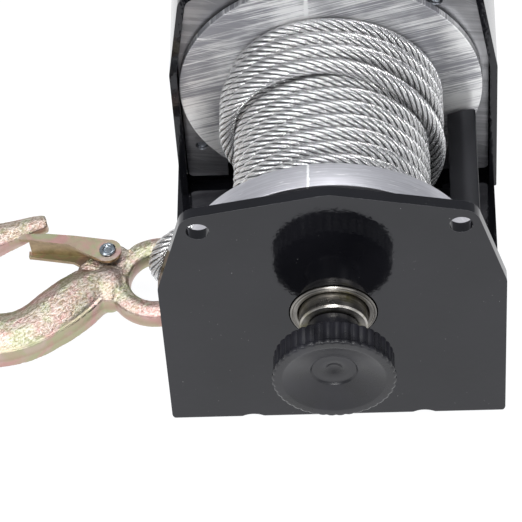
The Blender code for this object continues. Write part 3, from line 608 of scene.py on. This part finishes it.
def smooth_path(points, spacing):
    """Evenly spaced points on a Catmull-Rom curve through the given ones."""
    p = np.array(points, float)
    p = np.vstack([2 * p[0] - p[1], p, 2 * p[-1] - p[-2]])
    t = np.linspace(0, 1, 20, endpoint=False)[:, None]
    dense = []
    for a, b, c, d in zip(p, p[1:], p[2:], p[3:]):
        dense.append(0.5 * (2 * b + (c - a) * t + (2 * a - 5 * b + 4 * c - d) * t ** 2
                            + (3 * b - a - 3 * c + d) * t ** 3))
    dense = np.vstack([*dense, p[-2]])
    return respaced(dense, spacing)


def distance_gone(path):
    """How far along the path each of its points is."""
    return np.concatenate([[0], np.cumsum(np.linalg.norm(np.diff(path, axis=0), axis=1))])


def respaced(path, spacing):
    gone = distance_gone(path)
    want = np.linspace(0, gone[-1], max(2, round(gone[-1] / spacing)) + 1)
    return np.stack([np.interp(want, gone, path[:, i]) for i in range(3)], 1)


def unit(v):
    return v / np.linalg.norm(v, axis=-1, keepdims=True)


def carried_sides(path, first):
    """A side direction for each point, turned as little as possible on the way."""
    tangent = unit(np.gradient(path, axis=0))
    side = np.array(first, float)
    out = []
    for t in tangent:
        side = side - t * side.dot(t)
        side = side / np.linalg.norm(side)
        out.append(side)
    return np.array(out)


def strand_rings(path, frame_axes, turn, out, thick, around):
    """Rings of points round one strand that winds about a path, out from its middle."""
    sides, other = frame_axes
    radial = np.cos(turn)[:, None] * sides + np.sin(turn)[:, None] * other
    line = path + radial * out
    ahead = unit(np.gradient(line, axis=0))
    beside = unit(np.cross(ahead, radial))
    above = np.cross(beside, ahead)
    spin = np.linspace(0, 2 * math.pi, around, endpoint=False)
    along_above = np.cos(spin)[None, :, None] * above[:, None]
    along_beside = np.sin(spin)[None, :, None] * beside[:, None]
    return line[:, None] + thick * (along_above + along_beside)


def strand_faces(gone, around):
    """Four-sided faces between rings, with round and along coordinates for each corner."""
    i, j = np.meshgrid(np.arange(len(gone) - 1), np.arange(around), indexing="ij")
    k = (j + 1) % around
    quads = np.stack([i * around + j, i * around + k, (i + 1) * around + k, (i + 1) * around + j], -1)
    u = np.stack([j, j + 1, j + 1, j], -1) / around
    v = np.stack([gone[i], gone[i], gone[i + 1], gone[i + 1]], -1)
    return quads.reshape(-1, 4), np.stack([u, v], -1).reshape(-1, 2)


def stranded(name, path, sides, look, body, stands_for, around, scale=1.0):
    """Strands laid right-handed round a core, along a path."""
    tangent = unit(np.gradient(path, axis=0))
    sides = unit(sides - tangent * np.sum(sides * tangent, 1, keepdims=True))
    other = np.cross(tangent, sides)
    gone = distance_gone(path)
    rows = len(path)
    quads, coords = strand_faces(gone, around)
    verts = []
    outward = []
    for strand in range(STRANDS + 1):
        core = strand == STRANDS
        out = 0.0 if core else STRAND_OUT * scale
        thick = (CORE_R if core else STRAND_R) * scale
        turn = 2 * math.pi * (gone / LAY + strand / STRANDS)
        rings = strand_rings(path, (sides, other), turn, out, thick, around)
        depth = np.linalg.norm(rings - path[:, None], axis=2) / (ROPE_R * scale)
        verts.append(rings.reshape(-1, 3))
        outward.append(depth.ravel())
    faces = np.vstack([quads + strand * rows * around for strand in range(STRANDS + 1)])
    mesh = bpy.data.meshes.new(name)
    mesh.from_pydata(np.vstack(verts) * MM, [], faces)
    uv = mesh.uv_layers.new(name="strand")
    uv.data.foreach_set("uv", np.vstack([coords] * (STRANDS + 1)).ravel())
    # outward lets the wire material paint shade into the grooves between strands.
    level = mesh.attributes.new("outward", "FLOAT", "POINT")
    level.data.foreach_set("value", np.concatenate(outward).astype(np.float32))
    close_strand_ends(mesh, rows, around)
    return add_piece(name, mesh, [look], body, stands_for, 80)


def close_strand_ends(mesh, rows, around):
    bm = bmesh.new()
    bm.from_mesh(mesh)
    bm.verts.ensure_lookup_table()
    for strand in range(STRANDS + 1):
        first = strand * rows * around
        last = first + (rows - 1) * around
        bm.faces.new([bm.verts[first + k] for k in reversed(range(around))])
        bm.faces.new([bm.verts[last + k] for k in range(around)])
    bm.to_mesh(mesh)
    bm.free()


def wound_knots():
    """The wound rope as (turns back from where it leaves, distance from the axis, behind)."""
    top = LAYER_R[3]
    risen = 0.21      # turns until it lies on the fourth layer
    over_top = 0.375  # turns until it passes over the drum's top
    leave_r = math.hypot(LEAVES[0], LEAVES[2] - AXIS_Z)
    knots = [(0.0, leave_r, LEAVES[1]), (risen, top, RISEN_AT), (over_top, top, TOP_TURN)]
    turns = over_top + (WRAPS_REAR - TOP_TURN) / WRAP
    knots.append((turns, top, WRAPS_REAR))
    start = WRAPS_REAR
    end = WRAPS_FRONT
    for radius in reversed(LAYER_R[:3]):
        turns += CLIMB
        knots.append((turns, radius, start))
        turns += (WRAPS_REAR - WRAPS_FRONT) / WRAP
        knots.append((turns, radius, end))
        start, end = end, start
    return np.array(knots)


def wound_line():
    """Centre line on the drum, from where the rope leaves back to its inner end.

    Also gives each point's turns, and the turns at which the two outer layers end.
    """
    knots = wound_knots()
    back = np.arange(0, knots[-1, 0], 0.004)
    radius = np.interp(back, knots[:, 0], knots[:, 1])
    behind = np.interp(back, knots[:, 0], knots[:, 2])
    kernel = np.hanning(41)
    kernel /= kernel.sum()
    edge = len(kernel) // 2
    for values in (radius, behind):
        padded = np.pad(values, edge, mode="reflect", reflect_type="odd")
        values[:] = np.convolve(padded, kernel, "valid")
    angle = math.atan2(LEAVES[2] - AXIS_Z, LEAVES[0]) + 2 * math.pi * back
    line = np.stack([radius * np.cos(angle), FRONT_Y + behind, AXIS_Z + radius * np.sin(angle)], 1)
    return line, back, knots[5, 0]


def make_wound_rope(look):
    """The rope on the drum, with its two outer layers drawn more finely."""
    line, back, outer_turns = wound_line()
    outer = back <= outer_turns + 0.3
    centre = np.array([0, 0, AXIS_Z])
    parts = (("wound_rope_top", line[outer], 1.7, 8), ("wound_rope_below", line[~outer], 4.5, 5))
    for name, part, spacing, around in parts:
        path = respaced(part, spacing)
        sides = (path - centre) * np.array([1, 0, 1])
        stranded(name, path, sides, look, "drum", ["rope_pack"], around)


def make_free_rope(look):
    """The still stretch between drum and sleeve; gives the piece and its route."""
    route = [(x, FRONT_Y + y, z) for x, y, z in ROPE_ROUTE]
    path = smooth_path(route, 1.2)
    first = (LEAVES[0], 0.0, LEAVES[2] - AXIS_Z)
    piece = stranded("free_rope", path, carried_sides(path, first), look, "frame",
                     ["rope_free_end"], 10)
    return piece, path


LOOP_TIP = (-66.3, 57.5)
LOOP_DEG = 10.0
LOOP_SIDE = [
    (35.6, 8.3),
    (33.8, 8.3),
    (30.0, 8.0),
    (25.0, 7.4),
    (18.0, 7.2),
    (12.0, 7.2),
    (7.0, 7.4),
    (3.4, 8.6),
    (1.2, 11.4),
    (0.3, 14.8),
    (0.2, 18.4),
    (1.6, 23.6),
    (4.4, 28.2),
    (8.6, 31.6),
    (13.0, 32.8),
    (17.6, 31.6),
    (22.0, 28.0),
    (26.0, 22.8),
    (29.0, 18.2),
    (31.6, 15.5),
    (33.9, 14.8),
    (35.6, 14.8),
]
FERRULE = (36.2, 57.0, 11.6)   # from, to and height of the pressed sleeve
LOOP_SCALE = 0.96


def along_loop(s, z, side=0.0):
    """Point s along the eye loop's own line, counted from its tip."""
    a = math.radians(LOOP_DEG)
    x = LOOP_TIP[0] + s * math.cos(a) - side * math.sin(a)
    y = LOOP_TIP[1] + s * math.sin(a) + side * math.cos(a)
    return (x, FRONT_Y + y, z)


def make_loop(look):
    path = smooth_path([along_loop(s, z) for s, z in LOOP_SIDE], 1.2)
    return stranded("eye_loop", path, carried_sides(path, (0, 0, 1)), look, "frame",
                    ["rope_eye_loop"], 10, LOOP_SCALE)


def make_ferrule(look):
    """Oval sleeve with three pressed waists."""
    start, end, height = FERRULE
    half_width = 4.6
    flank = 3.45       # half height of the oval's straight sides
    crown = 3.84       # radius of its rounded top and bottom
    rows = 60
    around = 48
    bm = bmesh.new()
    rings = []
    for i in range(rows + 1):
        t = i / rows
        press = 0.35 * max(0.0, math.cos(2 * math.pi * 3 * t + math.pi)) ** 0.5
        lip = 0.6 * max(0.0, 1 - min(t, 1 - t) / 0.04) ** 2
        ring = []
        for k in range(around):
            a = 2 * math.pi * k / around
            w = (half_width - 0.5 * press - lip) * math.cos(a)
            h = flank * math.tanh(3 * math.sin(a)) + (crown - press - lip) * math.sin(a)
            point = along_loop(start + (end - start) * t, height + h, w)
            ring.append(bm.verts.new(Vector(point) * MM))
        rings.append(ring)
    for low, high in zip(rings, rings[1:]):
        for k in range(around):
            j = (k + 1) % around
            bm.faces.new([low[k], low[j], high[j], high[k]])
    bm.faces.new(rings[0])
    bm.faces.new(rings[-1])
    return add_piece("pressed_sleeve", to_mesh(bm, "pressed_sleeve"), [look], "frame",
                     ["rope_ferrule"])


# ---- hook --------------------------------------------------------------
TILT = math.radians(4.04)
TILT_X = -150.0
TILT_Z = 8.7
SIDE_HALF = 3.6        # half height of the shank's flat sides
CREST = 1.1            # how far those sides stand out at their edges
HOOK_SWELLS = [        # centre and half size of the lumps where neck and lug join the ring
    ((-83.0, 49.9, 0.0), (7.0, 9.0, 6.5)),
    ((-78.0, 60.6, -0.6), (5.0, 5.0, 3.4)),
]


def hook_space():
    """Turns the hook's own flat space, in metres, into the frame."""
    pivot = Vector((TILT_X, 0, 0)) * MM
    lift = Matrix.Translation(Vector((0, FRONT_Y, TILT_Z)) * MM)
    spin = Matrix.Rotation(-TILT, 4, "Y")
    return lift @ Matrix.Translation(pivot) @ spin @ Matrix.Translation(-pivot)


def applied(name, bm, mods):
    """A mesh with modifiers made real; mods is (type, settings) pairs."""
    mesh = to_mesh(bm, name)
    temp = bpy.data.objects.new(name + "_temp", mesh)
    SCENE.collection.objects.link(temp)
    for kind, settings in mods:
        mod = temp.modifiers.new(kind, kind)
        for key, value in settings.items():
            setattr(mod, key, value)
    deps = bpy.context.evaluated_depsgraph_get()
    made = bpy.data.meshes.new_from_object(temp.evaluated_get(deps))
    bpy.data.objects.remove(temp)
    bpy.data.meshes.remove(mesh)
    return made


def raise_crests(mesh):
    """Squares the hook's sides and stores how much each point faces up or down."""
    flat = np.array(hook_space().inverted())
    count = len(mesh.vertices)
    co = np.zeros(count * 3)
    mesh.vertices.foreach_get("co", co)
    co = co.reshape(-1, 3)
    normal = np.zeros(count * 3)
    mesh.vertices.foreach_get("normal", normal)
    normal = normal.reshape(-1, 3)
    height = (co @ flat[:3, :3].T + flat[:3, 3])[:, 2] / MM
    lean = np.abs(normal @ flat[:3, :3].T[:, 2])
    off = np.abs(height)
    beyond = np.clip(1 - (off - SIDE_HALF) / 0.9, 0, 1)
    square = np.where(off < SIDE_HALF, (off / SIDE_HALF) ** 2, beyond)
    square = square * np.clip((0.82 - lean) / 0.2, 0, 1)
    co = co + normal * (square * CREST * MM)[:, None]
    mesh.vertices.foreach_set("co", co.ravel())
    # crown also masks the painted shade on the flanks and the painted highlights and shade on the crown.
    crown = mesh.attributes.new("crown", "FLOAT", "POINT")
    crown.data.foreach_set("value", lean.astype(np.float32))


def make_hook(look):
    """Forged hook, blended at its joints, with flat sides that end in a crest."""
    bm = clean_copy("hook_body")
    for centre, half in HOOK_SWELLS:
        swell = Matrix.Translation(Vector(centre) * MM) @ Matrix.Diagonal((*half, 1))
        bmesh.ops.create_icosphere(bm, subdivisions=4, radius=MM, matrix=hook_space() @ swell)
    mesh = applied("hook_body", bm, [
        ("REMESH", {"mode": "VOXEL", "voxel_size": 0.5 * MM, "adaptivity": 0.0}),
        ("SMOOTH", {"factor": 0.6, "iterations": 18}),
    ])
    raise_crests(mesh)
    return add_piece("forged_hook", mesh, [look], "hook", ["hook_body"], 60)


def make_latch(outer, inner):
    """Pressed latch; its inner and lower sides take a darker second material as painted shade."""
    latch = softened("hook_latch", 0.35, [outer])
    # Painted shade: faces turned to the front or downwards get the darker second material.
    latch.data.materials.append(inner)
    for face in latch.data.polygons:
        if face.normal.y < -0.5 or face.normal.z < -0.5:
            face.material_index = 1


# ---- clutch knob and bush ----------------------------------------------
KNOB_R = 20.8
KNOB_LIP_R = 21.3
KNOB_FACE = -29.1
FLUTES = 40
BUSH_R = 15.0
BUSH_BORE = 12.2
CORNER_HOLE = (44.3, 107.0)   # across and up, in the front plate


def make_knob(look):
    """Fluted pull knob with a dished face, a small boss and a moulding mark."""
    f = KNOB_FACE
    lip = KNOB_LIP_R
    profile = [(0.0, f + 8.0), (4.3, f + 8.0), (4.3, -6.8)]
    profile += arc_corner((4.3, -6.8), (9.0, -6.8), (9.0, f + 14), 0.5)
    profile += arc_corner((9.0, -8.0), (9.0, f + 11.0), (15.0, f + 10.7), 1.2)
    profile += [(17.6, f + 10.6), (18.4, f + 10.5)]
    profile += arc_corner((18.4, f + 10.5), (KNOB_R, f + 9.4), (KNOB_R, f + 6), 0.8)
    profile += [(KNOB_R, f + 6.5), (KNOB_R, f + 4.0)]
    profile += arc_corner((KNOB_R, f + 5), (KNOB_R, f + 2.1), (lip, f + 1.6), 0.5, 3)
    profile += arc_corner((KNOB_R, f + 2.1), (lip, f + 1.6), (lip, f + 0.8), 0.3, 3)
    profile += arc_corner((lip, f + 1.2), (lip, f + 0.35), (20.6, f), 0.3, 3)
    profile += arc_corner((lip, f + 0.3), (20.6, f), (18.6, f + 0.05), 0.3, 3)
    profile += arc_corner((20.0, f), (17.9, f + 0.1), (15.0, f + 1.5), 1.6, 4)
    profile += [(15.2, f + 1.3), (12.0, f + 2.6)]
    profile += arc_corner((12.0, f + 2.6), (8.2, f + 3.9), (7.7, f + 4.5), 0.4, 3)
    profile += arc_corner((8.0, f + 4.2), (7.5, f + 4.6), (6.5, f + 4.6), 0.3, 3)
    profile += [(5.6, f + 4.5), (3.6, f + 4.6), (2.8, f + 4.9)]
    profile += [(1.9, f + 5.5), (0.9, f + 5.8), (0.0, f + 5.8)]

    def ribs(radius, behind, angle):
        inside = min(1.0, max(0.0, (radius - 19.6) / 1.0))
        wave = 0.5 + 0.5 * math.cos(FLUTES * angle)
        return radius - (0.62 if behind > f + 1.9 else 0.4) * inside * wave ** 2.2

    return lathe("knob", profile, FLUTES * 8, [look], "clutch", ["clutch_knob"], ribs)


def make_front_bush(look):
    """Bush in the front plate, with two turned grooves in its face."""
    outer = BUSH_R
    bore = BUSH_BORE
    profile = [(bore, 7.0), (bore, -0.2), (bore + 0.5, -0.8), (outer - 1.4, -0.8), (outer - 1.1, -0.55),
               (outer - 0.9, -0.55), (outer - 0.6, -0.8), (outer - 0.4, -0.8), (outer, -0.4), (outer, 7.0)]
    return lathe("flanged_bush", profile, 160, [look], "frame", ["front_bush"])


def make_flange(node, look):
    """One end of the drum as a smooth disc with softened corners."""
    low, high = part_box(node)
    radius = (high.x - low.x) / 2 / MM
    front = low.y / MM - FRONT_Y
    rear = high.y / MM - FRONT_Y
    bore = BUSH_BORE
    profile = rounded_profile([(bore, rear), (radius, rear), (radius, front), (bore, front)], 0.45, 3)
    return lathe(node + "_disc", profile, 200, [look], "drum", [node])


# ---- everything else ---------------------------------------------------
def make_sheet_metal(looks):
    drum_axis = ((0, 0, AXIS_Z), (0, 1, 0), 20.0)
    across, up = CORNER_HOLE
    holes = [((side * across, 0, up), (0, 1, 0), 5.0) for side in (-1, 1)]
    softened("folded_frame", 0.5, [looks["paint"], looks["edge"]], [drum_axis, *holes])
    softened("gear_housing", 0.6, [looks["paint"]], [drum_axis])
    softened("rope_guard", 0.35, [looks["satin"]])
    softened("gear_plate", 0.35, [looks["sheet"]], [drum_axis])


def numbered(stem, count):
    return [f"{stem}_{i + 1}" for i in range(count)]


def make_fasteners(zinc, copper):
    along_y = numbered("standoff", 4) + numbered("housing_screw", 4) + numbered("motor_screw", 2)
    for node in [*along_y, "rope_clamp_screw"]:
        round_piece(node, 0.2, zinc)
    for node in numbered("base_screw", 4) + numbered("guard_screw", 2):
        round_piece(node, 0.2, zinc, (0, 0, 1))
    for node in numbered("terminal_nut", 2):
        softened(node, 0.3, [zinc])
    for node in numbered("terminal_stud", 2):
        round_piece(node, 0.2, copper)


def make_magnets(magnet):
    for node in numbered("motor_magnet", 2):
        softened(node, 0.3, [magnet])


def make_gears(gear):
    for node in ("gear_axle", "idler_axle", "idler_sleeve", "motor_shaft"):
        round_piece(node, 0.2, gear)
    for node in ("drum_gear", "idler_pinion", "idler_gear", "motor_pinion", "clutch_dog"):
        softened(node, 0.12, [gear])


def make_drum_core(looks):
    round_piece("rear_bush", 0.25, looks["bronze"])
    round_piece("drum_shaft", 0.25, looks["greasy"])
    round_piece("clutch_rod", 0.2, looks["greasy"])
    round_piece("drum_barrel", 0.3, looks["sheet"])


def make_motor(looks):
    round_piece("motor_can", 0.4, looks["paint"])
    round_piece("motor_end_cap", 0.3, looks["plastic"])
    round_piece("motor_armature", 0.4, looks["copper"])


def make_springs(zinc):
    """The clutch spring as a smoothed zinc copy with a mesh of its own, and the latch spring in zinc."""
    node = "clutch_spring"
    mesh = to_mesh(clean_copy(node), node + "_look")
    body = NODES[node]["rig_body"]
    piece = add_piece(node + "_look", mesh, [zinc], body, [node], 180)
    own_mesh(piece)
    spring = NODES["latch_spring"]
    spring.data.materials.clear()
    spring.data.materials.append(zinc)
    spring.data.shade_smooth()


def make_looks():
    grease = (0.14, 0.13, 0.04)
    old_oil = (0.1, 0.075, 0.04)
    sanded = (0, -17, 0)
    return {
        "paint": black_paint("black_paint", 0.43, (0.05, 0.09)),
        "satin": black_paint("satin_paint", 0.4, (0.42, 0.5)),
        "edge": edge_highlight_and_wear(),
        "rope": rope_wire(),
        "zinc": plain_metal("bright_zinc", (0.62, 0.66, 0.72), 0.28),
        "rivet": plain_metal("rivet_zinc", (0.42, 0.47, 0.52), 0.2),
        "aluminium": plain_metal("pressed_aluminium", (0.78, 0.79, 0.8), 0.36),
        "copper": plain_metal("copper_wire", (0.7, 0.33, 0.17), 0.34, 0.8),
        # Painted shade colour for the latch's inner and lower faces.
        "latch_shade": plain_metal("shaded_latch_zinc", (0.4, 0.3, 0.19), 0.34),
        "gear": turned_steel("gear_steel_oiled", (0.2, 0.19, 0.17), (0.36, 0.35, 0.33), 0.32, old_oil),
        "greasy": turned_steel("greasy_steel", (0.24, 0.22, 0.2), (0.5, 0.48, 0.45), 0.3, grease),
        "bush": turned_steel("bush_steel", (0.1, 0.095, 0.09), (0.34, 0.325, 0.3), 0.28),
        "bronze": turned_steel("sintered_bronze", (0.3, 0.19, 0.08), (0.5, 0.34, 0.15), 0.34),
        "rim": rim_steel(),
        "disc": scratched_steel("sanded_disc", (0.34, 0.34, 0.37), (1.0, 1.0, 1.0), sanded,
                                0.6, 0.7, 0.6, -7.4),
        "sheet": scratched_steel("sheet_steel", (0.42, 0.42, 0.44), (0.66, 0.66, 0.68), (0, 8, 0),
                                 0.8, 0.3),
        "forging": yellow_zinc("yellow_zinc_forging", True),
        "pressing": yellow_zinc("yellow_zinc_sheet", False),
        "plastic": moulded_plastic(),
        "magnet": magnet_grey(),
    }


def main():
    make_camera()
    make_floor()
    make_light_and_air()
    looks = make_looks()
    make_wound_rope(looks["rope"])
    free, path = make_free_rope(looks["rope"])
    loop = make_loop(looks["rope"])
    sleeve = make_ferrule(looks["aluminium"])
    make_hook(looks["forging"])
    make_latch(looks["pressing"], looks["latch_shade"])
    softened("latch_rivet", 0.18, [looks["rivet"]])
    make_knob(looks["plastic"])
    make_front_bush(looks["bush"])
    make_flange("front_flange", looks["rim"])
    make_flange("rear_flange", looks["disc"])
    make_sheet_metal(looks)
    make_fasteners(looks["zinc"], looks["copper"])
    make_magnets(looks["magnet"])
    make_gears(looks["gear"])
    make_drum_core(looks)
    make_motor(looks)
    make_springs(looks["zinc"])


main()
